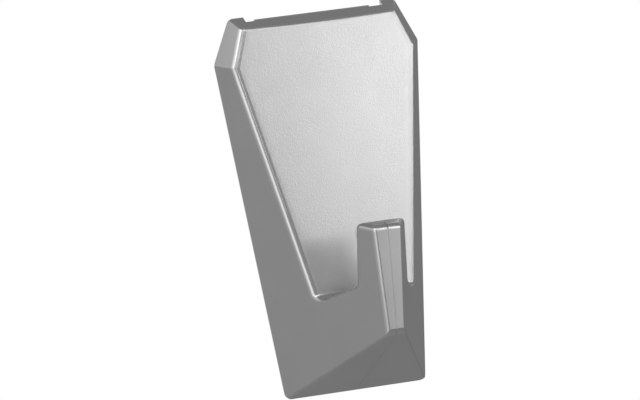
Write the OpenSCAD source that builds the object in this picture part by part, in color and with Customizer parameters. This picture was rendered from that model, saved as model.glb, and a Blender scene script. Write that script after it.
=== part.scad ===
// Adhesive wall hook: a faceted cover with one hook finger, slid over the lugs of a flat
// base plate, which a stretch-release strip holds to the wall.
//
// Every piece is drawn in the face frame: X to the right, Y up from the cover's lower edge,
// Z towards the viewer. place() then stands it on the wall: +Z up, the wall at Y = 0, the
// front towards -Y, and the origin in the middle of the strip's sticky area on the wall.

/* [Cover outline] */
// Height of the cover
cover_h = 76; // [70:0.5:90]
// Width across the widest corners
wide_w = 47.9; // [44:0.1:56]
// How far each cut-off corner takes the top edge in from the widest corner
corner_cut_w = 4.5; // [2:0.1:5]
// How far the widest corners lie below the top edge
corner_cut_h = 8.7; // [4:0.1:12]
// Width of the lower edge
foot_w = 33; // [31:0.1:40]
// Radius of the outline's corners, seen from the front
corner_r = 1.7; // [0.4:0.1:2.2]
// Thickness of the cover's back edge, where every slanted face starts
edge_land = 0.1; // [0.05:0.05:0.3]

/* [Cover faces] */
// Pitch of the top face and of the two cut-off corners, measured from the wall
bevel_pitch = 45; // [40:0.1:52]
// Pitch of the lower face
foot_pitch = 58.4; // [54:0.1:62]
// Depth of the front panel, carried on up to the top edge
panel_depth = 2.25; // [2.2:0.05:3]
// Lean of the front panel back towards the wall at the top
panel_lean = 5.6; // [5:0.1:7]

/* [Hook finger and seat] */
// Height of the finger's top edge at its back
finger_up = 33.45; // [30:0.1:38]
// Depth of the finger's front plane at that height
finger_reach = 19; // [18:0.1:21]
// Width of the finger's front at its top, which sets the pitch of the side faces
finger_w = 6.5; // [5:0.1:8]
// Thickness of the finger at its top
finger_t = 2.8; // [2:0.05:3.2]
// Lean of the finger's front plane away from the wall
nose_lean = 3.3; // [0:0.1:4]
// Lean of the finger's back face away from the wall
finger_back_lean = 8.6; // [4:0.1:12]
// Fall of the finger's top face towards the front
finger_top_fall = 24; // [20:0.1:45]
// Height of the seat where it meets the finger
seat_up = 20.95; // [19:0.05:24]
// Fall of the seat from the finger back towards the panel
seat_fall = 19.5; // [8:0.1:24]
// Radius of the seat's hollow corner at the panel
seat_r = 1.3; // [0.8:0.1:2.4]
// Radius of the hollow corner at the finger's root
root_r = 1; // [0.4:0.1:1.6]
// Radius of the finger's tip, between its back and its top face
tip_r = 0.8; // [0.4:0.1:0.9]
// Radius of the finger's brow, between its top face and its front
brow_r = 1.4; // [0.6:0.1:1.5]

/* [Cover walls] */
// Thickness of the side, corner and top walls
side_wall = 1.5; // [1.2:0.1:2]
// Thickness of the lower wall
foot_wall = 1.8; // [1.4:0.1:2.2]
// Thickness of the front panel
panel_wall = 1.7; // [1.5:0.1:1.8]
// Thickness of the wall under the seat
seat_wall = 1.9; // [1.4:0.1:2.6]
// Thickness of the solid root between the hollow and the finger's back
root_wall = 2; // [1:0.1:4]

/* [Stretch-release strip] */
// Width of the strip
strip_w = 20; // [16:0.5:20]
// Length of the pull tab, which is not sticky
tab_l = 10; // [8:0.5:12]
// Thickness of the foam core
foam_t = 0.6; // [0.4:0.05:0.65]
// Thickness of each adhesive layer
glue_t = 0.1; // [0.05:0.01:0.15]
// Radius of the tab's corners
tab_r = 3; // [1:0.5:5]
// Radius of the strip's upper corners
strip_r = 1; // [0.5:0.5:2]

/* [Base plate] */
// How far the plate reaches past each side of the strip
plate_side_margin = 1; // [0.5:0.1:1.5]
// Thickness of the plate
plate_t = 1.3; // [1:0.1:1.35]
// How far the plate reaches below the sticky area
plate_foot_margin = 0.5; // [0.2:0.1:1.5]
// Radius of the plate's lower corners
plate_r = 2; // [1:0.5:3]
// Thickness of the tongue
tongue_t = 0.8; // [0.6:0.1:0.9]
// How far the tongue's tip stays below the cover's top edge
tongue_drop = 0.7; // [0.6:0.1:1.5]
// Slant that cuts off the tip of the tongue's front, in line with the cover's top face
tongue_slant = 0.5; // [0.2:0.1:0.6]
// Height over which the plate thins to the tongue
tongue_ramp = 3.8; // [3:0.1:5]
// Height of the two stiffening ribs off the plate
rib_t = 1.3; // [0.6:0.1:1.4]
// Width of a stiffening rib
rib_w = 1.2; // [0.8:0.1:1.6]
// Distance between the ribs' middles
rib_span = 16; // [12:0.5:18]

/* [Lugs and hooks] */
// How far the lower lugs lie above the plate's lower edge
lug_foot_margin = 3.3; // [1:0.1:6]
// How far the upper lugs lie below the strip's upper end
lug_top_margin = 5.2; // [3:0.1:8]
// How far a lug stands out from the plate's side
lug_reach = 2; // [1.6:0.1:2.2]
// Thickness of a hook's lip, which lies behind its lug
lip_t = 0.65; // [0.5:0.05:0.7]
// Thickness of the rib that carries a hook's lip
hook_wall = 1.3; // [1:0.1:1.6]
// Height of the shoulder that rests on a lug
shoulder_h = 1.5; // [1:0.1:1.6]

/* [Notch and snap] */
// Width of the top edge left standing on each side of the notch
post_w = 3.4; // [2.5:0.1:5]
// Height of the notch down the inside of the cover
notch_h = 5.5; // [4:0.1:6]
// Width of the snap's two ridges
snap_w = 12; // [6:1:20]
// Height of the tongue's ridge off the tongue
snap_t = 0.2; // [0.1:0.05:0.25]
// Height of each snap ridge, measured along the wall
snap_h = 0.8; // [0.5:0.1:1.2]
// How far the tongue's ridge lies below the tongue's tip
snap_drop = 2.9; // [2.5:0.1:3.5]
// Gap along the wall between the two ridges at rest
snap_step = 0.8; // [0.4:0.1:1]

/* [Clearances] */
// Gap between the wall and the cover's back edge
wall_gap = 0.5; // [0.4:0.05:0.6]
// Gap between the front of the plate or its ribs and the back of the panel
plate_gap = 0.3; // [0.2:0.05:0.4]
// Gap between a hook's lip and the lug in front of it
lug_gap = 0.1; // [0.05:0.05:0.2]
// How far the lift takes a hook past its lug
lift_gap = 1; // [0.5:0.1:1.5]
// Gap between the pull tab and the cover's lower wall once it is lifted
tab_gap = 0.9; // [0.5:0.1:1.5]
// Gap between a lifted hook and the tongue's head
head_gap = 0.6; // [0.3:0.1:1.5]
// Gap between each side of the tongue's head and the notch
notch_side_gap = 2.6; // [1:0.1:3]
// Gap between the front of the tongue and the notch's floor
notch_gap = 0.55; // [0.4:0.05:0.7]
// Gap between a lug's end and the cover's hook
side_gap = 0.3; // [0.2:0.05:0.5]
// Gap between the plate's side and a hook's lip
lip_gap = 0.4; // [0.3:0.05:0.5]
// Gap between a shoulder and the lug that carries it
rest_gap = 0.05; // [0.02:0.01:0.1]
// Gap between the wall and the tongue's back
tongue_gap = 0.2; // [0.1:0.05:0.3]
// Gap between the strip's upper end and the tongue
strip_gap = 0.8; // [0.4:0.1:1]
// Gap between the two snap ridges as they pass
snap_gap = 0.1; // [0.05:0.05:0.2]

/* [Hidden] */

// Overrun of every cut
over = 1;
// Steps in a rounded corner
arc_steps = 8;
// Edge of a block big enough to hold the whole hook
big = 2 * cover_h;

// The cover's outline at the wall, anticlockwise from the lower right corner
wide_up = cover_h - corner_cut_h;
top_w = wide_w - 2 * corner_cut_w;
foot_right = [foot_w / 2, 0];
wide_right = [wide_w / 2, wide_up];
top_right = [top_w / 2, cover_h];
top_left = [-top_w / 2, cover_h];
wide_left = [-wide_w / 2, wide_up];
foot_left = [-foot_w / 2, 0];
outline = [foot_right, wide_right, top_right, top_left, wide_left, foot_left];
foot_edge = len(outline) - 1;

// Lines in a plane are kept as [a, b, c], meaning a x + b y = c.
function unit(v) = v / norm(v);
function cross_of(a, b) = a[0] * b[1] - a[1] * b[0];
function line_at(p, angle) = let (n = [-sin(angle), cos(angle)]) [n[0], n[1], n * p];
function shifted(l, by) = [l[0], l[1], l[2] + by * norm([l[0], l[1]])];
function meet(k, l) =
    let (d = cross_of(k, l))
    [(k[2] * l[1] - l[2] * k[1]) / d, (k[0] * l[2] - l[0] * k[2]) / d];

// Points of an arc of radius r that rounds the corner p between a and b
function corner(a, p, b, r) =
    let (u = unit(a - p), v = unit(b - p), half = acos(u * v) / 2,
         mid = p + unit(u + v) * r / sin(half),
         from = p + u * r / tan(half) - mid,
         turn = (cross_of(from, p + v * r / tan(half) - mid) > 0 ? 1 : -1) * (180 - 2 * half))
    [for (i = [0 : arc_steps]) let (t = turn * i / arc_steps)
        mid + [from[0] * cos(t) - from[1] * sin(t), from[0] * sin(t) + from[1] * cos(t)]];

// A closed outline with all its corners rounded
function rounded(points, r) =
    let (n = len(points))
    [for (i = [0 : n - 1]) each corner(points[(i + n - 1) % n], points[i], points[(i + 1) % n], r)];

// Side view of the cover, as [depth, height]: the lines of the panel, seat and finger
finger_back_depth = finger_reach - finger_t;
finger_tip = [finger_back_depth, finger_up];
panel_side = line_at([panel_depth, cover_h], 90 + panel_lean);
nose_side = line_at([finger_reach, finger_up], 90 - nose_lean);
finger_back = line_at(finger_tip, 90 - finger_back_lean);
finger_top = line_at(finger_tip, -finger_top_fall);
finger_brow = meet(finger_top, nose_side);
seat_front = meet(finger_back, [0, 1, seat_up]);
seat_floor = line_at(seat_front, seat_fall);
seat_under = shifted(seat_floor, -seat_wall);
panel_back = shifted(panel_side, panel_wall);
hollow_depth = seat_front[0] - root_wall;

// Pitch of the face that rises from each edge of the outline. A side face runs through
// the corner of the finger's front.
side_run = unit(wide_left - foot_left);
side_reach = cross_of([finger_w / -2, finger_brow[1]] - foot_left, side_run);
side_pitch = atan((finger_brow[0] - edge_land) / side_reach);
pitches = [side_pitch, bevel_pitch, bevel_pitch, bevel_pitch, side_pitch, foot_pitch];

// Layers off the wall
core_at = glue_t;
front_glue_at = core_at + foam_t;
plate_at = front_glue_at + glue_t;
plate_front = plate_at + plate_t;
rib_front = plate_front + rib_t;
tongue_front = tongue_gap + tongue_t;
lug_t = plate_front - wall_gap - lip_t - lug_gap;

// Height up to which something this far off the wall stays clear of the panel's back
function clear_up(front) = meet(panel_back, [1, 0, front + plate_gap - wall_gap])[1];

// Heights above the cover's lower edge. The lift moves the cover's lower wall up to just
// below the tab's end. One lift, a lug, two free steps as long as a lug, and a lug fill the
// height that the margins leave.
glue_top = clear_up(plate_front);
foot_inside = foot_wall / sin(foot_pitch) + (plate_at - wall_gap - edge_land) / tan(foot_pitch);
lug_top = glue_top - lug_top_margin;
lug_steps = 5;
lug_l = (lug_top - foot_inside - lift_gap - tab_gap - tab_l + plate_foot_margin
         - lug_foot_margin) / lug_steps;
lift = lug_l + lift_gap;
tab_up = foot_inside + lift + tab_gap;
glue_up = tab_up + tab_l;
glue_mid = (glue_up + glue_top) / 2;
plate_up = glue_up - plate_foot_margin;
low_lug_up = plate_up + lug_foot_margin;
high_lug_up = lug_top - lug_l;
tongue_tip = cover_h - tongue_drop;
tongue_head_up = lug_top + rest_gap + shoulder_h + lift + head_gap;
snap_up = tongue_tip - snap_drop;

// Places across the hook, measured from its middle plane
plate_w = strip_w + 2 * plate_side_margin;
hook_x = plate_w / 2 + lug_reach + side_gap;
lip_x = plate_w / 2 + lip_gap;
notch_w = top_w - 2 * post_w;
notch_depth = tongue_front + notch_gap - wall_gap;
tongue_w = notch_w - 2 * notch_side_gap;

// Stands a piece on the wall, its back the given distance off it
module place(off) {
    rotate([90, 0, 0])
        translate([0, -glue_mid, off])
            children();
}

// All that lies outside the face over edge i, moved in by the given depth
module beyond_face(i, inset) {
    a = outline[i];
    b = outline[(i + 1) % len(outline)];
    translate([a[0], a[1], edge_land])
        rotate([0, 0, atan2(b[1] - a[1], b[0] - a[0])])
            rotate([pitches[i], 0, 0])
                translate([-big, -big, -inset])
                    cube([2 * big, 2 * big, big]);
}

// The faceted block that the cover is cut from
module faceted_block() {
    difference() {
        linear_extrude(big)
            polygon(rounded(outline, corner_r));
        for (i = [0 : foot_edge])
            beyond_face(i, 0);
    }
}

// A side-view outline drawn right across the cover
module across() {
    rotate([0, -90, 0])
        linear_extrude(big, center = true)
            children();
}

// All that lies in front of the panel, over the seat and round the finger
module front_space() {
    top = meet(panel_side, [0, 1, cover_h + over]);
    valley = meet(panel_side, seat_floor);
    nose_end = meet(nose_side, [0, 1, -over]);
    across()
        polygon([
            [big, cover_h + over],
            top,
            each corner(top, valley, seat_front, seat_r),
            each corner(valley, seat_front, finger_tip, root_r),
            each corner(seat_front, finger_tip, finger_brow, tip_r),
            each corner(finger_tip, finger_brow, nose_end, brow_r),
            nose_end,
            [big, -over]
        ]);
}

// The hollow behind the cover's walls, open towards the wall
module hollow() {
    top = meet(panel_back, [0, 1, cover_h]);
    neck = meet(panel_back, seat_under);
    front = meet(seat_under, [1, 0, hollow_depth]);
    difference() {
        translate([0, 0, -over])
            linear_extrude(big)
                polygon(outline);
        for (i = [0 : foot_edge])
            beyond_face(i, i == foot_edge ? foot_wall : side_wall);
        across()
            polygon([top + [0, over], top, neck, front, [hollow_depth, 0], [big, 0],
                     [big, cover_h + over]]);
    }
}

// One hook: a rib with a lip that lies behind a lug and a shoulder that rests on it
module hook(up) {
    shoulder_up = up + lug_l + rest_gap;
    translate([hook_x, up, 0])
        cube([hook_wall, shoulder_up + shoulder_h - up, big]);
    translate([lip_x, up, 0])
        cube([hook_x - lip_x, lug_l, lip_t]);
    translate([lip_x, shoulder_up, 0])
        cube([hook_x - lip_x, shoulder_h, big]);
}

// Draws its children on the right and again on the left
module both_sides() {
    children();
    mirror([1, 0, 0])
        children();
}

// The cover's own snap ridge, on the floor of the notch
module cover_snap() {
    ridge_at = tongue_front + snap_t + snap_gap - wall_gap;
    translate([-snap_w / 2, snap_up - snap_step - snap_h, ridge_at])
        cube([snap_w, snap_h, big]);
}

// The notch that the tongue's head lies in
module notch() {
    translate([-notch_w / 2, cover_h - notch_h, -over])
        cube([notch_w, notch_h + over, notch_depth + over]);
}

module cover() {
    color([0.62, 0.62, 0.62])
        place(wall_gap)
            difference() {
                faceted_block();
                front_space();
                difference() {
                    hollow();
                    both_sides()
                        for (up = [low_lug_up, high_lug_up])
                            hook(up);
                    cover_snap();
                }
                difference() {
                    notch();
                    cover_snap();
                }
            }
}

// The base plate seen from the side, as [distance from the wall, height]
module plate_side() {
    polygon([
        [plate_at, plate_up],
        [plate_front, plate_up],
        [plate_front, glue_top],
        [tongue_front, glue_top + tongue_ramp],
        [tongue_front, tongue_tip - tongue_slant],
        [tongue_front - tongue_slant, tongue_tip],
        [tongue_gap, tongue_tip],
        [tongue_gap, glue_top + strip_gap],
        [plate_at, glue_top + strip_gap]
    ]);
}

// The base plate seen from the front, its head as wide as the tongue's
module plate_front_view() {
    half = plate_w / 2;
    head = tongue_w / 2;
    left_low = [-half, plate_up];
    right_low = [half, plate_up];
    polygon([
        each corner([-half, tongue_head_up], left_low, right_low, plate_r),
        each corner(left_low, right_low, [half, tongue_head_up], plate_r),
        [half, tongue_head_up],
        [head, tongue_head_up],
        [head, tongue_tip],
        [-head, tongue_tip],
        [-head, tongue_head_up],
        [-half, tongue_head_up]
    ]);
}

// One lug, with room behind it for a hook's lip
module lug(up) {
    translate([plate_w / 2 - over, up, plate_front - lug_t])
        cube([lug_reach + over, lug_l, lug_t]);
}

// A stiffening rib on the front of the plate
module rib() {
    translate([rib_span / 2 - rib_w / 2, low_lug_up, plate_front - plate_t / 2])
        cube([rib_w, clear_up(rib_front) - low_lug_up, plate_t / 2 + rib_t]);
}

module base_plate() {
    color([0.56, 0.56, 0.56])
        place(0) {
            intersection() {
                across()
                    plate_side();
                linear_extrude(big)
                    plate_front_view();
            }
            both_sides() {
                lug(low_lug_up);
                lug(high_lug_up);
                rib();
            }
            translate([-snap_w / 2, snap_up, tongue_front - tongue_t / 2])
                cube([snap_w, snap_h, tongue_t / 2 + snap_t]);
        }
}

// One layer of the strip, its lower corners rounded as a tab or left square
module layer(low, high, low_r, high_r) {
    half = strip_w / 2;
    a = [-half, low];
    b = [half, low];
    c = [half, high];
    d = [-half, high];
    polygon([
        each low_r > 0 ? corner(d, a, b, low_r) : [a],
        each low_r > 0 ? corner(a, b, c, low_r) : [b],
        each high_r > 0 ? corner(b, c, d, high_r) : [c],
        each high_r > 0 ? corner(c, d, a, high_r) : [d]
    ]);
}

module strip_core() {
    color([0.93, 0.93, 0.91])
        place(core_at)
            linear_extrude(foam_t)
                layer(tab_up, glue_top, tab_r, strip_r);
}

module plate_adhesive() {
    color([0.86, 0.86, 0.82])
        place(front_glue_at)
            linear_extrude(glue_t)
                layer(glue_up, glue_top, 0, strip_r);
}

module wall_adhesive() {
    color([0.86, 0.86, 0.82])
        place(0)
            linear_extrude(glue_t)
                layer(glue_up, glue_top, 0, strip_r);
}

module tab_film_front() {
    color([0.72, 0.76, 0.8])
        place(front_glue_at)
            linear_extrude(glue_t)
                layer(tab_up, glue_up, tab_r, 0);
}

module tab_film_back() {
    color([0.72, 0.76, 0.8])
        place(0)
            linear_extrude(glue_t)
                layer(tab_up, glue_up, tab_r, 0);
}

cover();
base_plate();
strip_core();
plate_adhesive();
wall_adhesive();
tab_film_front();
tab_film_back();
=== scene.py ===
"""Looks of the adhesive wall hook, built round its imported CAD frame.

The cover is modelled here in the face frame, in mm: x to the right, y up from the cover's lower
edge, z towards the viewer from the cover's back edge. to_row() then takes it to the row frame, in
metres, where the lights, the floor and the camera are placed. The base plate and the strip keep
their CAD meshes and get materials.
"""

import math

import bmesh
import bpy
from mathutils import Matrix, Vector


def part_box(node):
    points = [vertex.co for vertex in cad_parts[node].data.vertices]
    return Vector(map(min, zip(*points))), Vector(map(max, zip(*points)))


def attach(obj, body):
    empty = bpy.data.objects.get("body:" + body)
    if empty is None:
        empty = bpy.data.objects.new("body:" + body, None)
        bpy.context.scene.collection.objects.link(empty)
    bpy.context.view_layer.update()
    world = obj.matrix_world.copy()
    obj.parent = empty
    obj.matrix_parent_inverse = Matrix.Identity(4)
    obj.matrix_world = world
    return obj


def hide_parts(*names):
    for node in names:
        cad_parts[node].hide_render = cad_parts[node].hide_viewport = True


MM = 0.001

# The cover's outline, and the depth of the narrow rim round its back edge
COVER_H = 76
WIDE_W = 47.9
CORNER_CUT_W = 4.5
CORNER_CUT_H = 8.7
FOOT_W = 33
CORNER_R = 1.7
EDGE_LAND = 0.1

# Its faces and front panel
BEVEL_PITCH = 45
FOOT_PITCH = 58.4
PANEL_DEPTH = 2.25
PANEL_LEAN = 5.6

# The panel bulges as part of a wide cylinder, which crosses the flat panel CROWN_HALF from its middle
CROWN_R = 600
CROWN_HALF = 11
CROWN_STEPS = 24

# Beside its rounded side edges the panel also falls off, steeper and steeper: how wide and how deep
# this border is, the power that bends it, its strips and the power that narrows them towards the
# edge, and how far from the flat panel a point may lie to move along
FALL_W = 2.8
FALL_DEPTH = 0.1
FALL_POWER = 5
FALL_STEPS = 7
STRIP_POWER = 2
FALL_REACH = 0.9

# The finger and the seat
FINGER_UP = 33.45
FINGER_REACH = 19
FINGER_W = 6.5
FINGER_T = 2.8
NOSE_LEAN = 3.3
FINGER_BACK_LEAN = 8.6
FINGER_TOP_FALL = 24
SEAT_UP = 20.95
SEAT_FALL = 19.5
SEAT_R = 1.3
ROOT_R = 1
TIP_R = 0.8
BROW_R = 1.4

# The walls round the hollow
SIDE_WALL = 1.5
FOOT_WALL = 1.8
PANEL_WALL = 1.7
SEAT_WALL = 1.9
ROOT_WALL = 2

# The hooks, the notch and the snap ridge inside
LUG_L = 8
LUG_UPS = (24.94, 48.95)
HOOK_X = 13.3
LIP_X = 11.4
LIP_T = 0.65
HOOK_WALL = 1.3
REST_GAP = 0.05
SHOULDER_H = 1.5
NOTCH_W = 32.1
NOTCH_H = 5.5
NOTCH_DEPTH = 1.05
SNAP_W = 12
SNAP_H = 0.8
SNAP_UP = 70.8
SNAP_AT = 0.8

# Radii of the block's edges: a ridge between two facets, a facet's edge with the finger's top,
# with its back, and with the panel, the seat and the finger's front, and the fold under the
# finger; and the widest rounding that the seat's corners leave room for
RIDGE_R = 0.5
CHEEK_R = 1.3
NAPE_R = 0.25
FRONT_R = 1.5
FOLD_R = 2
EASE_MOST = 0.6

# The parting line along the middle of the finger: fine down its front, from GROOVE_LOW up to
# GROOVE_TURN, then wider and deeper over its brow and top, as far back as the depth GROOVE_BACK;
# at the foot it starts at the depth GROOVE_FOOT
GROOVE_W = 0.2
GROOVE_SINK = 0.1
TOP_GROOVE_W = 0.34
TOP_GROOVE_SINK = 0.4
GROOVE_LOW = 1
GROOVE_TURN = 31.6
GROOVE_BACK = 16
GROOVE_FOOT = 1.5

# Overrun of cuts, an edge longer than the whole hook, steps in a drawn corner and in a rounded edge
OVER = 1
BIG = 120
ARC_STEPS = 8
EASE_STEPS = 4

# Points closer than this are merged, and faces turned by less than this count as one: between the
# cuts, and in the finished cover
MERGE_GAP = 0.0005
FLAT_TURN = math.radians(0.05)
FINISHED_TURN = math.radians(0.02)

# For the shading: edges that turn by more than this stay sharp, and how much more large faces count
# than small ones, where 50 is even
SHARP_TURN = math.radians(35)
FACE_WEIGHT = 90


def line_at(point, degrees):
    """The line through point at this angle, as (a, b, c) with a x + b y = c."""
    normal = Vector((-math.sin(math.radians(degrees)), math.cos(math.radians(degrees))))
    return Vector((normal.x, normal.y, normal.dot(Vector(point))))


def shifted(line, by):
    """The line moved sideways."""
    return Vector((line.x, line.y, line.z + by * math.hypot(line.x, line.y)))


def cross_of(a, b):
    """The cross product of two vectors in a plane; only their first two numbers count."""
    return a[0] * b[1] - a[1] * b[0]


def meet(line, other):
    """The point where two lines meet."""
    d = cross_of(line, other)
    x = (line.z * other.y - other.z * line.y) / d
    y = (line.x * other.z - other.x * line.z) / d
    return Vector((x, y))


def corner(a, p, b, r):
    """Points of an arc of radius r that rounds the corner p between a and b."""
    u = (a - p).normalized()
    v = (b - p).normalized()
    half = math.acos(u.dot(v)) / 2
    middle = p + (u + v).normalized() * r / math.sin(half)
    start = p + u * r / math.tan(half) - middle
    end = p + v * r / math.tan(half) - middle
    turn = math.copysign(math.pi - 2 * half, cross_of(start, end))
    points = []
    for i in range(ARC_STEPS + 1):
        t = turn * i / ARC_STEPS
        x = start.x * math.cos(t) - start.y * math.sin(t)
        y = start.x * math.sin(t) + start.y * math.cos(t)
        points.append(middle + Vector((x, y)))
    return points


def rounded(points, r):
    """A closed outline with all its corners rounded."""
    result = []
    for i, p in enumerate(points):
        result += corner(points[i - 1], p, points[(i + 1) % len(points)], r)
    return result


# The outline at the wall, anticlockwise from the lower right corner
WIDE_UP = COVER_H - CORNER_CUT_H
TOP_W = WIDE_W - 2 * CORNER_CUT_W
OUTLINE = [
    Vector((FOOT_W / 2, 0)),
    Vector((WIDE_W / 2, WIDE_UP)),
    Vector((TOP_W / 2, COVER_H)),
    Vector((-TOP_W / 2, COVER_H)),
    Vector((-WIDE_W / 2, WIDE_UP)),
    Vector((-FOOT_W / 2, 0)),
]
TOP_EDGE = 2
FOOT_EDGE = len(OUTLINE) - 1

# Side view of the cover as (depth, height): the lines of the panel, the seat and the finger
PANEL_SIDE = line_at((PANEL_DEPTH, COVER_H), 90 + PANEL_LEAN)
NOSE_SIDE = line_at((FINGER_REACH, FINGER_UP), 90 - NOSE_LEAN)
FINGER_TIP = Vector((FINGER_REACH - FINGER_T, FINGER_UP))
NAPE_SIDE = line_at(FINGER_TIP, 90 - FINGER_BACK_LEAN)
BROW_SIDE = line_at(FINGER_TIP, -FINGER_TOP_FALL)
BROW = meet(BROW_SIDE, NOSE_SIDE)
SEAT_FRONT = meet(NAPE_SIDE, Vector((0, 1, SEAT_UP)))
SEAT_SIDE = line_at(SEAT_FRONT, SEAT_FALL)
SEAT_UNDER = shifted(SEAT_SIDE, -SEAT_WALL)
PANEL_BACK = shifted(PANEL_SIDE, PANEL_WALL)
HOLLOW_DEPTH = SEAT_FRONT.x - ROOT_WALL

# Pitch of the face that rises from each edge of the outline. The side faces rise until they meet the
# finger's brow at half the finger's width.
SIDE_RUN = (OUTLINE[4] - OUTLINE[5]).normalized()
SIDE_REACH = cross_of(Vector((-FINGER_W / 2, BROW.y)) - OUTLINE[5], SIDE_RUN)
SIDE_PITCH = math.degrees(math.atan((BROW.x - EDGE_LAND) / SIDE_REACH))
PITCHES = [SIDE_PITCH, BEVEL_PITCH, BEVEL_PITCH, BEVEL_PITCH, SIDE_PITCH, FOOT_PITCH]


def facet(i, inset=0):
    """A point on the face over edge i, moved in by inset, and the face's outward direction."""
    along = (OUTLINE[(i + 1) % len(OUTLINE)] - OUTLINE[i]).normalized()
    pitch = math.radians(PITCHES[i])
    out = Vector((along.y * math.sin(pitch), -along.x * math.sin(pitch), math.cos(pitch)))
    return Vector((*OUTLINE[i], EDGE_LAND)) - inset * out, out


def side_facing(line, forward):
    """The direction, in the face frame, of a face drawn as a line in the side view."""
    depth, up = forward * line.x, forward * line.y
    return Vector((0, up, depth)).normalized()


PANEL_NORMAL = side_facing(PANEL_SIDE, -1)
NAPE_NORMAL = side_facing(NAPE_SIDE, 1)
BROW_NORMAL = side_facing(BROW_SIDE, 1)
BACKWARD = Vector((0, 0, -1))

# Faces whose directions have at least this cosine face the same way, and an edge that turns by less
# than this isn't rounded
SAME_FACE = 0.99999
SMOOTH_TURN = math.radians(3)

# A face is grained that lies within PANEL_REACH of the flat panel and is turned from it by less than
# PANEL_TURN. To the left it may turn by LEFT_TURN only, so the grain ends short of the left edge.
PANEL_REACH = 0.5
PANEL_TURN = math.radians(10)
LEFT_TURN = math.radians(6)


def loft(rings):
    """A closed mesh through rings of points, capped at both ends."""
    mesh = bmesh.new()
    rows = [[mesh.verts.new(p) for p in ring] for ring in rings]
    mesh.faces.new(rows[0])
    mesh.faces.new(rows[-1])
    for low, high in zip(rows, rows[1:]):
        for i in range(len(low)):
            j = (i + 1) % len(low)
            mesh.faces.new((low[i], low[j], high[j], high[i]))
    return mesh


def prism(points, low, high):
    """An outline seen from the front, drawn out along the depth."""
    return loft([[(*p, depth) for p in points] for depth in (low, high)])


def across(points):
    """A side-view outline of (depth, height), drawn right across the cover."""
    return loft([[(x, p[1], p[0]) for p in points] for x in (-WIDE_W, WIDE_W)])


def block(x_low, x_high, y_low, y_high, z_low, z_high):
    """A rectangular cut, given by its limits."""
    return prism([(x_low, y_low), (x_high, y_low), (x_high, y_high), (x_low, y_high)], z_low, z_high)


def trim(mesh, point, out):
    """Cuts away what lies beyond a plane and closes the cut."""
    everything = mesh.verts[:] + mesh.edges[:] + mesh.faces[:]
    bmesh.ops.bisect_plane(mesh, geom=everything, plane_co=point, plane_no=out, clear_outer=True)
    rim = [e for e in mesh.edges if e.is_boundary]
    bmesh.ops.holes_fill(mesh, edges=rim, sides=0)


def solid(mesh, name):
    """The mesh as an object, its faces turned outwards."""
    bmesh.ops.recalc_face_normals(mesh, faces=mesh.faces)
    data = bpy.data.meshes.new(name)
    mesh.to_mesh(data)
    mesh.free()
    obj = bpy.data.objects.new(name, data)
    bpy.context.scene.collection.objects.link(obj)
    return obj


def bake(obj):
    """Puts the result of the object's modifiers in its mesh."""
    depsgraph = bpy.context.evaluated_depsgraph_get()
    data = bpy.data.meshes.new_from_object(obj.evaluated_get(depsgraph))
    old = obj.data
    obj.modifiers.clear()
    obj.data = data
    bpy.data.meshes.remove(old)


def combine(obj, tool, operation):
    """Cuts or intersects obj with tool, which is used up."""
    modifier = obj.modifiers.new(operation, "BOOLEAN")
    modifier.operation = operation
    modifier.solver = "EXACT"
    modifier.object = tool
    bake(obj)
    bpy.data.objects.remove(tool)


def clean(obj, flat_turn):
    """Merges doubled points and dissolves the edges inside flat faces."""
    mesh = bmesh.new()
    mesh.from_mesh(obj.data)
    bmesh.ops.remove_doubles(mesh, verts=mesh.verts, dist=MERGE_GAP)
    bmesh.ops.dissolve_limit(
        mesh, angle_limit=flat_turn, verts=mesh.verts, edges=mesh.edges, delimit={"MATERIAL"}
    )
    mesh.to_mesh(obj.data)
    mesh.free()


def one_looks(faces, way):
    """Whether one of the faces looks this way."""
    return any(f.normal.dot(way) > SAME_FACE for f in faces)


def is_facet(face):
    """Whether a face is one of the six that rise from the outline."""
    return any(one_looks([face], facet(i)[1]) for i in range(len(OUTLINE)))


def radius_of(edge):
    """The radius that an edge of the block is rounded with, or 0 where it stays as it is."""
    fronts = [f for f in edge.link_faces if not is_facet(f)]
    if not edge.is_convex or edge.calc_face_angle() < SMOOTH_TURN:
        return 0
    if one_looks(fronts, BACKWARD):
        return 0
    if not fronts:
        return RIDGE_R
    nape = one_looks(fronts, NAPE_NORMAL)
    if len(fronts) == 2:
        return TIP_R if nape else BROW_R
    if one_looks(edge.link_faces, facet(FOOT_EDGE)[1]):
        return FOLD_R
    if one_looks(fronts, BROW_NORMAL):
        return CHEEK_R
    return NAPE_R if nape else FRONT_R


def ease_edges(obj):
    """Rounds the block's edges, each kind by its own measure."""
    mesh = bmesh.new()
    mesh.from_mesh(obj.data)
    weight = mesh.edges.layers.float.new("bevel_weight_edge")
    widths = []
    for edge in mesh.edges:
        radius = radius_of(edge)
        width = radius * math.tan(edge.calc_face_angle() / 2) if radius else 0
        widths.append(width if radius in (CHEEK_R, BROW_R, FOLD_R) else min(width, EASE_MOST))
    widest = max(widths)
    for edge, width in zip(mesh.edges, widths):
        edge[weight] = width / widest
    mesh.to_mesh(obj.data)
    mesh.free()
    modifier = obj.modifiers.new("ease", "BEVEL")
    modifier.limit_method = "WEIGHT"
    modifier.offset_type = "OFFSET"
    modifier.width = widest
    modifier.segments = EASE_STEPS
    modifier.use_clamp_overlap = False
    bake(obj)


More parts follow.
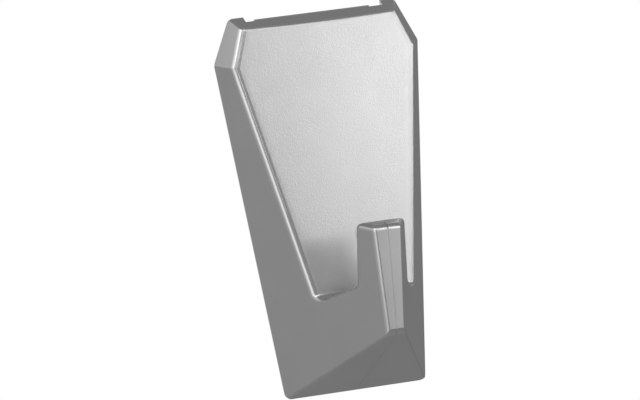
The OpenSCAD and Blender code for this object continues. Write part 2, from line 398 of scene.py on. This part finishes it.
def front_space():
    """What lies in front of the bulging panel, over the seat and round the finger."""
    top = meet(PANEL_SIDE, Vector((0, 1, COVER_H + OVER)))
    valley = meet(PANEL_SIDE, SEAT_SIDE)
    nose_end = meet(NOSE_SIDE, Vector((0, 1, -OVER)))
    panel = [top, *corner(top, valley, SEAT_FRONT, SEAT_R)]
    finger = [*corner(valley, SEAT_FRONT, FINGER_TIP, ROOT_R), FINGER_TIP, BROW, nose_end]
    along_seat = (SEAT_FRONT - valley).normalized()
    across_panel = Vector((PANEL_NORMAL.z, PANEL_NORMAL.y))
    rings = []
    for i in range(CROWN_STEPS + 1):
        x = (WIDE_W / 2 + OVER) * (2 * i / CROWN_STEPS - 1)
        bulge = (CROWN_HALF ** 2 - x ** 2) / (2 * CROWN_R)
        shift = along_seat * bulge / along_seat.dot(across_panel)
        outline = [(BIG, COVER_H + OVER), *[p + shift for p in panel], *finger, (BIG, -OVER)]
        rings.append([(x, p[1], p[0]) for p in outline])
    return loft(rings)


def faceted_block():
    """The block that the cover is cut from, its front edges rounded."""
    mesh = block(-BIG, BIG, -BIG, BIG, 0, BIG)
    for i in range(len(OUTLINE)):
        trim(mesh, *facet(i))
    result = solid(mesh, "cover_shell")
    combine(result, solid(front_space(), "front_space"), "DIFFERENCE")
    clean(result, FLAT_TURN)
    ease_edges(result)
    combine(result, solid(prism(rounded(OUTLINE, CORNER_R), -OVER, BIG), "outline"), "INTERSECT")
    return result


def hook_blocks(up, side):
    """One hook's rib, lip and shoulder, on the side that side gives as 1 or -1."""
    shoulder = up + LUG_L + REST_GAP
    rib = (HOOK_X, HOOK_X + HOOK_WALL, up, shoulder + SHOULDER_H, BIG)
    lip = (LIP_X, HOOK_X + OVER / 2, up, up + LUG_L, LIP_T)
    rest = (LIP_X, HOOK_X + OVER / 2, shoulder, shoulder + SHOULDER_H, BIG)
    blocks = []
    for x_near, x_far, y_low, y_high, z_high in (rib, lip, rest):
        x_low, x_high = sorted((side * x_near, side * x_far))
        blocks.append(solid(block(x_low, x_high, y_low, y_high, -2 * OVER, z_high), "hook"))
    return blocks


def hollow():
    """The hollow behind the walls, with the hooks and the snap ridge left standing in it."""
    mesh = block(-BIG, BIG, -BIG, BIG, -OVER, BIG)
    for i in range(len(OUTLINE)):
        trim(mesh, *facet(i, FOOT_WALL if i == FOOT_EDGE else SIDE_WALL))
    result = solid(mesh, "hollow")
    top = meet(PANEL_BACK, Vector((0, 1, COVER_H)))
    neck = meet(PANEL_BACK, SEAT_UNDER)
    front = meet(SEAT_UNDER, Vector((1, 0, HOLLOW_DEPTH)))
    walls = [
        (BIG, COVER_H + OVER), top + Vector((0, OVER)), top, neck,
        front, (HOLLOW_DEPTH, -BIG), (BIG, -BIG),
    ]
    combine(result, solid(across(walls), "front_walls"), "DIFFERENCE")
    for side in (1, -1):
        for up in LUG_UPS:
            for piece in hook_blocks(up, side):
                combine(result, piece, "DIFFERENCE")
    combine(result, solid(snap_ridge(), "snap"), "DIFFERENCE")
    clean(result, FLAT_TURN)
    return result


def snap_ridge():
    """The cover's own snap ridge, on the floor of the notch."""
    return block(-SNAP_W / 2, SNAP_W / 2, SNAP_UP, SNAP_UP + SNAP_H, SNAP_AT, BIG)


def notch():
    """The notch that the tongue's head lies in."""
    room = block(-NOTCH_W / 2, NOTCH_W / 2, COVER_H - NOTCH_H, COVER_H + OVER, -OVER, NOTCH_DEPTH)
    result = solid(room, "notch")
    combine(result, solid(snap_ridge(), "snap"), "DIFFERENCE")
    return result


def groove(shell, width, y_low, y_high, z_low, sink):
    """The cut for a shallow groove in the shell: a thin slab without a copy of the shell sunk in."""
    slab = block(-width / 2, width / 2, y_low, y_high, z_low, FINGER_REACH + OVER)
    result = solid(slab, "parting_line")
    core = shell.copy()
    core.data = shell.data.copy()
    bpy.context.scene.collection.objects.link(core)
    core.data.transform(Matrix.Translation(sink))
    combine(result, core, "DIFFERENCE")
    return result


def cut_parting_line(shell):
    """Cuts the finger's parting line, down its front and over its top."""
    front_sink = (0, 0, -GROOVE_SINK)
    top_sink = (0, -TOP_GROOVE_SINK, -GROOVE_SINK)
    cuts = [
        groove(shell, GROOVE_W, GROOVE_LOW, GROOVE_TURN, GROOVE_FOOT, front_sink),
        groove(shell, TOP_GROOVE_W, GROOVE_TURN, FINGER_UP + OVER, GROOVE_BACK, top_sink),
    ]
    for cut in cuts:
        combine(shell, cut, "DIFFERENCE")


def to_row(obj):
    """Takes a mesh from the face frame, in mm, to the row frame, in metres."""
    cad_low, cad_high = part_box("cover")
    wall_gap = -cad_high.y
    glue_mid = -cad_low.z
    obj.data.transform(Matrix((
        (MM, 0, 0, 0),
        (0, 0, -MM, -wall_gap),
        (0, MM, 0, -glue_mid),
        (0, 0, 0, 1),
    )))


def behind_panel(point):
    """How far a point lies behind the flat panel; negative in front of it."""
    return PANEL_SIDE.x * point.z + PANEL_SIDE.y * point.y - PANEL_SIDE.z


def is_grained(face):
    """Whether a face belongs to the grained part of the front panel."""
    if abs(behind_panel(face.calc_center_median())) > PANEL_REACH:
        return False
    if face.normal.x < -math.sin(LEFT_TURN):
        return False
    return face.normal.dot(PANEL_NORMAL) > math.cos(PANEL_TURN)


def panel_edges():
    """For each side edge of the flat panel, before it was rounded, three vectors: a point on it, the
    direction out across it, and the step down the facet beside it that leads 1 mm behind the panel."""
    depth = (PANEL_SIDE.z - PANEL_SIDE.y * WIDE_UP) / PANEL_SIDE.x
    result = []
    for i in range(len(OUTLINE)):
        if i in (TOP_EDGE, FOOT_EDGE):
            continue
        on_facet, facing = facet(i)
        aside = (facing.dot(on_facet) - facing.y * WIDE_UP - facing.z * depth) / facing.x
        along = facing.cross(PANEL_NORMAL)
        out = along.cross(PANEL_NORMAL).normalized()
        out *= math.copysign(1, out.dot(facing))
        slide = facing.cross(along)
        slide /= -slide.dot(PANEL_NORMAL)
        result.append((Vector((aside, WIDE_UP, depth)), out, slide))
    return result


def cut_strips(mesh, point, out):
    """Divides the panel's border along one of its side edges into strips."""
    for step in range(1, FALL_STEPS + 1):
        inset = EASE_MOST + FALL_W * (step / FALL_STEPS) ** STRIP_POWER
        faces = [f for f in mesh.faces if is_grained(f)]
        parts = dict.fromkeys(part for f in faces for part in (*f.verts, *f.edges))
        bmesh.ops.bisect_plane(
            mesh, geom=[*faces, *parts], plane_co=point - inset * out, plane_no=out
        )
        mesh.normal_update()


def soften_panel(mesh):
    """Lets the panel fall off towards its side edges and takes their rounding along."""
    edges = panel_edges()
    for point, out, _ in edges:
        cut_strips(mesh, point, out)
    for vert in mesh.verts:
        insets = [(point - vert.co).dot(out) for point, out, _ in edges]
        inset = min(insets)
        slide = edges[insets.index(inset)][2]
        if abs(behind_panel(vert.co)) > FALL_REACH or inset < -EASE_MOST:
            continue
        share = max(0, 1 - (inset - EASE_MOST) / FALL_W) ** FALL_POWER
        vert.co += FALL_DEPTH * min(share, 1) * slide
    mesh.normal_update()


def finish_faces(shell):
    """Softens the panel and gives its grained faces the shell's second material."""
    mesh = bmesh.new()
    mesh.from_mesh(shell.data)
    soften_panel(mesh)
    for face in mesh.faces:
        face.smooth = True
        face.material_index = 1 if is_grained(face) else 0
    mesh.to_mesh(shell.data)
    mesh.free()


def make_cover(smooth, grained):
    """The cover: a hollow faceted shell with its panel, finger, hooks and notch."""
    shell = faceted_block()
    cut_parting_line(shell)
    combine(shell, hollow(), "DIFFERENCE")
    combine(shell, notch(), "DIFFERENCE")
    clean(shell, FINISHED_TURN)
    finish_faces(shell)
    to_row(shell)
    shell.data.set_sharp_from_angle(angle=SHARP_TURN)
    shell.data.materials.append(smooth)
    shell.data.materials.append(grained)
    weighted = shell.modifiers.new("weighted", "WEIGHTED_NORMAL")
    weighted.keep_sharp = True
    weighted.weight = FACE_WEIGHT
    shell.name = "cover_shell"
    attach(shell, "cover")
    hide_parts("cover")


# The noises are turned askew, so that their cells show no rows along the flat faces, and most of
# their values lie in this range
NOISE_TURN = (0.5, 0.7, 0.3)
NOISE_LOW = 0.3
NOISE_HIGH = 0.7

# The silver's grey, in large soft clouds, and how metallic it is
SILVER_DARK = 0.83
SILVER_LIGHT = 0.87
SILVER_CLOUDS = 90
METALLIC = 0.9

# How far the roughness of the other materials strays, and how much larger their clouds are than
# their grain
ROUGH_STRAY = 0.06
CLOUD_SIZE = 10


class Nodes:
    """A material's node tree, built call by call."""

    def __init__(self, name):
        self.material = bpy.data.materials.new(name)
        self.material.use_nodes = True
        self.tree = self.material.node_tree
        self.shader = self.tree.nodes["Principled BSDF"]
        turned = self.add("ShaderNodeMapping", Rotation=NOISE_TURN)
        self.link(self.add("ShaderNodeTexCoord").outputs["Object"], turned.inputs["Vector"])
        self.place = turned.outputs["Vector"]

    def add(self, kind, **settings):
        """A new node; each setting is one of its inputs or else one of its properties."""
        node = self.tree.nodes.new(kind)
        for key, value in settings.items():
            if key in node.inputs:
                node.inputs[key].default_value = value
            else:
                setattr(node, key, value)
        return node

    def link(self, start, end):
        """Joins an output to an input."""
        self.tree.links.new(start, end)

    def noise(self, scale, detail, roughness=0.5):
        """A noise with this many cells per metre."""
        node = self.add("ShaderNodeTexNoise", Scale=scale, Detail=detail, Roughness=roughness)
        self.link(self.place, node.inputs["Vector"])
        return node.outputs["Fac"]

    def spread(self, noise, low, high):
        """Maps a noise onto the range from low to high."""
        node = self.add("ShaderNodeMapRange")
        self.link(noise, node.inputs["Value"])
        node.inputs["From Min"].default_value = NOISE_LOW
        node.inputs["From Max"].default_value = NOISE_HIGH
        node.inputs["To Min"].default_value = low
        node.inputs["To Max"].default_value = high
        return node.outputs["Result"]

    def colour(self, value, dark, light):
        """Blends two colours by a value."""
        node = self.add("ShaderNodeMix", data_type="RGBA")
        self.link(value, node.inputs["Factor"])
        node.inputs["A"].default_value = (*dark, 1)
        node.inputs["B"].default_value = (*light, 1)
        return node.outputs["Result"]

    def bump(self, height, depth):
        """Normals of a surface that rises and falls by up to this depth, in metres."""
        node = self.add("ShaderNodeBump", Strength=1, Distance=depth)
        self.link(height, node.inputs["Height"])
        return node.outputs["Normal"]

    def shade(self, **values):
        """Sets the shader's inputs, each to a constant or to another node's output."""
        for key, value in values.items():
            socket = self.shader.inputs[key.replace("_", " ")]
            if isinstance(value, bpy.types.NodeSocket):
                self.link(value, socket)
            else:
                socket.default_value = value


def grey(level):
    """A colour without hue."""
    return (level, level, level)


def silver(name, rough_low, rough_high, grain, depth):
    """Silver paint or plastic, whose grain has this many cells per metre and this depth in metres."""
    nodes = Nodes(name)
    clouds = nodes.noise(SILVER_CLOUDS, detail=3)
    fine = nodes.noise(grain, detail=3, roughness=0.6)
    nodes.shade(
        Base_Color=nodes.colour(nodes.spread(clouds, 0, 1), grey(SILVER_DARK), grey(SILVER_LIGHT)),
        Metallic=METALLIC,
        Roughness=nodes.spread(fine, rough_low, rough_high),
        Normal=nodes.bump(fine, depth),
    )
    return nodes.material


def plain(name, dark, light, roughness, grain, depth):
    """A stuff that isn't metallic, its colour between dark and light, with such a grain too."""
    nodes = Nodes(name)
    clouds = nodes.noise(grain / CLOUD_SIZE, detail=3)
    fine = nodes.noise(grain, detail=4)
    nodes.shade(
        Base_Color=nodes.colour(nodes.spread(clouds, 0, 1), dark, light),
        Roughness=nodes.spread(fine, roughness - ROUGH_STRAY, roughness + ROUGH_STRAY),
        Normal=nodes.bump(fine, depth),
    )
    return nodes.material


def dress(node, material):
    """Gives a CAD node its material."""
    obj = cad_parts[node]
    obj.data.materials.clear()
    obj.data.materials.append(material)


def direction(azimuth, elevation):
    """Unit vector; azimuth 0 is straight in front of the hook and grows to the right."""
    a = math.radians(azimuth)
    e = math.radians(elevation)
    return Vector((math.sin(a) * math.cos(e), -math.cos(a) * math.cos(e), math.sin(e)))


def softbox(name, azimuth, elevation, distance, width, height, radiance):
    """A rectangular light that faces the hook; angles in degrees, sizes in metres."""
    data = bpy.data.lights.new(name, "AREA")
    data.shape = "RECTANGLE"
    data.size = width
    data.size_y = height
    data.energy = radiance * width * height * math.pi
    obj = bpy.data.objects.new(name, data)
    bpy.context.scene.collection.objects.link(obj)
    towards = direction(azimuth, elevation)
    obj.location = AIM + towards * distance
    obj.rotation_euler = towards.to_track_quat("Z", "Y").to_euler()
    obj.visible_camera = False


# The floor's width, height and grid, and the greys of its paper. To the camera it looks FLOOR_SHOWN
# bright, by the share FLOOR_GLOW.
FLOOR_W = 2
FLOOR_Z = -0.3
FLOOR_STEPS = 24
FLOOR_DARK = 0.64
FLOOR_LIGHT = 0.66
FLOOR_SHOWN = 0.75
FLOOR_GLOW = 0.7

# The even grey that the hook reflects from all round
AMBIENT = 0.176


def floor_paper():
    """Pale matte paper, which throws less light back at the hook than it shows."""
    material = plain(
        "floor_paper", grey(FLOOR_DARK), grey(FLOOR_LIGHT), roughness=0.7, grain=300, depth=0.0002
    )
    tree = material.node_tree
    shown = tree.nodes.new("ShaderNodeEmission")
    shown.inputs["Color"].default_value = (*grey(FLOOR_SHOWN), 1)
    path = tree.nodes.new("ShaderNodeLightPath")
    share = tree.nodes.new("ShaderNodeMath")
    share.operation = "MULTIPLY"
    share.inputs[1].default_value = FLOOR_GLOW
    mix = tree.nodes.new("ShaderNodeMixShader")
    tree.links.new(path.outputs["Is Camera Ray"], share.inputs[0])
    tree.links.new(share.outputs["Value"], mix.inputs["Fac"])
    tree.links.new(tree.nodes["Principled BSDF"].outputs["BSDF"], mix.inputs[1])
    tree.links.new(shown.outputs["Emission"], mix.inputs[2])
    tree.links.new(mix.outputs["Shader"], tree.nodes["Material Output"].inputs["Surface"])
    return material


def make_floor():
    """A pale studio floor well below the hook."""
    mesh = bmesh.new()
    places = [FLOOR_W * (i / FLOOR_STEPS - 0.5) for i in range(FLOOR_STEPS + 1)]
    rows = [[mesh.verts.new((x, y, FLOOR_Z)) for y in places] for x in places]
    for left, right in zip(rows, rows[1:]):
        for j in range(FLOOR_STEPS):
            mesh.faces.new((left[j], right[j], right[j + 1], left[j + 1]))
    floor = solid(mesh, "floor")
    floor.data.materials.append(floor_paper())


def make_world():
    """White behind the hook, and a dim even grey all round for its reflections."""
    world = bpy.data.worlds.new("studio")
    world.use_nodes = True
    tree = world.node_tree
    tree.nodes.clear()
    seen = tree.nodes.new("ShaderNodeBackground")
    seen.inputs["Color"].default_value = (1, 1, 1, 1)
    around = tree.nodes.new("ShaderNodeBackground")
    around.inputs["Color"].default_value = (*grey(AMBIENT), 1)
    path = tree.nodes.new("ShaderNodeLightPath")
    mix = tree.nodes.new("ShaderNodeMixShader")
    out = tree.nodes.new("ShaderNodeOutputWorld")
    tree.links.new(path.outputs["Is Camera Ray"], mix.inputs["Fac"])
    tree.links.new(around.outputs["Background"], mix.inputs[1])
    tree.links.new(seen.outputs["Background"], mix.inputs[2])
    tree.links.new(mix.outputs["Shader"], out.inputs["Surface"])
    bpy.context.scene.world = world


# The photograph's view: its angles, its scale at the hook, and where the hook's middle lies in it
VIEW_YAW = 32
VIEW_PITCH = 1.877
VIEW_ROLL = -6.684
VIEW_DISTANCE = 2.17036
PIXELS_PER_MM = 5.0492
IMAGE_W = 640
IMAGE_H = 400
MIDDLE_PIXEL = (333.37, 199.36)

# The camera's sensor width in mm, and how far it sees, in metres
SENSOR = 36
SIGHT = 100


def make_camera():
    """The camera, placed and turned as the photograph's was."""
    towards = direction(-VIEW_YAW, VIEW_PITCH)
    level = Vector((0, 0, 1)).cross(towards).normalized()
    upright = towards.cross(level)
    roll = math.radians(VIEW_ROLL)
    right = math.cos(roll) * level + math.sin(roll) * upright
    up = math.cos(roll) * upright - math.sin(roll) * level
    aside = (IMAGE_W / 2 - MIDDLE_PIXEL[0]) / PIXELS_PER_MM * MM
    above = (MIDDLE_PIXEL[1] - IMAGE_H / 2) / PIXELS_PER_MM * MM
    data = bpy.data.cameras.new("photo_view")
    data.sensor_width = SENSOR
    data.lens = SENSOR / IMAGE_W * PIXELS_PER_MM * VIEW_DISTANCE / MM
    data.clip_end = SIGHT
    camera = bpy.data.objects.new("photo_view", data)
    place = AIM + towards * VIEW_DISTANCE + right * aside + up * above
    turn = Matrix((right, up, towards)).transposed().to_4x4()
    camera.matrix_world = Matrix.Translation(place) @ turn
    bpy.context.scene.collection.objects.link(camera)
    bpy.context.scene.camera = camera


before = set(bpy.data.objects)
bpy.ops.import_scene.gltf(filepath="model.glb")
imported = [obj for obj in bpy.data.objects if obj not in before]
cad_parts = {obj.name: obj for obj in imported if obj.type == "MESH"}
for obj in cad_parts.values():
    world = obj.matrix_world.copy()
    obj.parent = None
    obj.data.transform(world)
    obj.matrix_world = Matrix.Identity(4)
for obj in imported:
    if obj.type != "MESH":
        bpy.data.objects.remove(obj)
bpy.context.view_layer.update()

# The middle of the hook's back, which the camera and the lights aim at
COVER_LOW, COVER_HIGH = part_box("cover")
AIM = Vector((0, COVER_HIGH.y, (COVER_LOW.z + COVER_HIGH.z) / 2))

# The dark and the light colour of the foam, the glue and the film
FOAM = ((0.8, 0.8, 0.76), (0.86, 0.86, 0.83))
GLUE = ((0.7, 0.7, 0.62), (0.76, 0.76, 0.7))
FILM = ((0.62, 0.66, 0.7), (0.68, 0.72, 0.76))

make_cover(
    smooth=silver("cover_satin", rough_low=0.23, rough_high=0.25, grain=2500, depth=0.000001),
    grained=silver("panel_grain", rough_low=0.31, rough_high=0.36, grain=3600, depth=0.000043),
)
dress("base_plate", silver("plate_satin", rough_low=0.3, rough_high=0.4, grain=2500, depth=0.00002))
dress("strip_core", plain("strip_foam", *FOAM, roughness=0.8, grain=4000, depth=0.0001))
for node, look in (("plate_adhesive", "plate_glue"), ("wall_adhesive", "wall_glue")):
    dress(node, plain(look, *GLUE, roughness=0.3, grain=2500, depth=0.00003))
for node in ("tab_film_front", "tab_film_back"):
    dress(node, plain(node, *FILM, roughness=0.25, grain=3000, depth=0.00002))

make_floor()
make_world()

# Each light's azimuth, elevation, distance, width, height and radiance
softbox("key_top", 43, 12, 0.3, 0.13, 0.08, 1.94)
softbox("key_low", 38, -7, 0.3, 0.14, 0.1, 0.355)
softbox("front_right", -11, 7, 0.7, 0.33, 0.5, 0.86)
softbox("front_left", -42, 5, 0.7, 0.45, 0.8, 0.192)
softbox("left_far", -72, 10, 0.7, 0.4, 0.9, 0.0774)
softbox("upper", -25, 38, 0.7, 0.6, 0.3, 0.393)
softbox("hood", 15, 30, 0.35, 0.26, 0.07, 1.56)
softbox("right_back", 112, 34, 0.3, 0.2, 0.14, 0.16)
softbox("back_high", 138, 44, 0.7, 0.3, 0.3, 0.55)
softbox("back_wide", 205, 3, 0.8, 0.9, 0.5, 0.5)
bpy.context.scene.view_settings.view_transform = "Standard"
make_camera()
